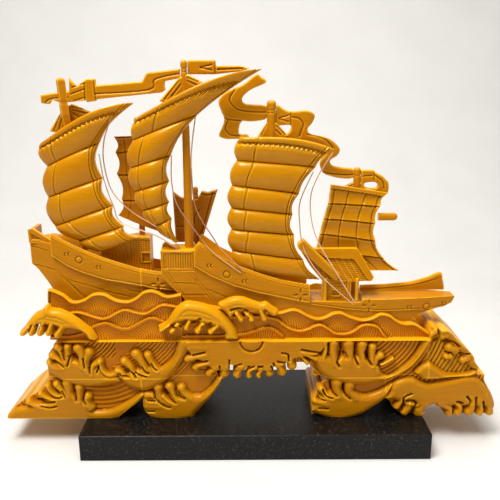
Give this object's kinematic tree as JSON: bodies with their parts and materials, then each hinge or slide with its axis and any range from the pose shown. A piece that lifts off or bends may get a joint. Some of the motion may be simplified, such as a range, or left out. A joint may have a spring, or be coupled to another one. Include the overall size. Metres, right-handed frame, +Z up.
{
  "type": "carved wooden junk ship ornament",
  "caption": "Carved boxwood ornament of two junks under full sail on a foaming sea, on a wave stand and a black stone plinth.",
  "frame": {"origin": "centre of the plinth's underside", "axes": "+X towards the bows, +Y away from the viewer towards the back of the carving, +Z up"},
  "size_m": [0.587, 0.168, 0.446],
  "materials": {
    "boxwood": "satin lacquer over amber stain",
    "sail_boxwood": "gloss lacquer over amber stain",
    "granite": "polished black stone with fine pale specks",
    "copper_wire": "bright drawn wire"
  },
  "bodies": {
    "root": {"bow_rail_far": "boxwood", "foam_back_left": "boxwood", "foam_back_right": "boxwood", "foam_left": "boxwood", "foam_middle": "boxwood", "foam_right": "boxwood", "fore_mast": "boxwood", "fore_pennant": "boxwood", "fore_sail": "sail_boxwood", "fore_sail_pole": "boxwood", "front_bulwark_far": "boxwood", "front_bulwark_near": "boxwood", "front_deckhouse": "boxwood", "front_deckhouse_roof": "boxwood", "front_hull": "boxwood", "loop_pennant": "boxwood", "middle_mast": "boxwood", "middle_pennant": "boxwood", "middle_sail": "sail_boxwood", "plinth": "granite", "rear_bulwark_far": "boxwood", "rear_bulwark_near": "boxwood", "rear_deckhouse": "boxwood", "rear_fore_mast": "boxwood", "rear_fore_sail": "sail_boxwood", "rear_hull": "boxwood", "rear_inner_mast": "boxwood", "rear_inner_sail": "sail_boxwood", "rear_mast": "boxwood", "rear_pennant": "boxwood", "rear_sail": "sail_boxwood", "rear_stern_rail": "boxwood", "sea_back": "boxwood", "sea_core": "boxwood", "sea_front_left": "boxwood", "sea_front_right": "boxwood", "stand_back_apron": "boxwood", "stand_deck": "boxwood", "stand_front_apron": "boxwood", "stand_left_foot": "boxwood", "stand_right_crest": "boxwood", "stand_right_foot": "boxwood", "stand_right_leg": "boxwood", "stand_second_leg": "boxwood", "stay_middle_long": "copper_wire", "stay_middle_short": "copper_wire", "stay_rear_long": "copper_wire", "stay_rear_short": "copper_wire", "stay_tall_long": "copper_wire", "stay_tall_short": "copper_wire", "stern_gallery": "boxwood", "tall_mast": "boxwood", "tall_pennant": "boxwood", "tall_sail": "sail_boxwood"}
  },
  "joints": []
}
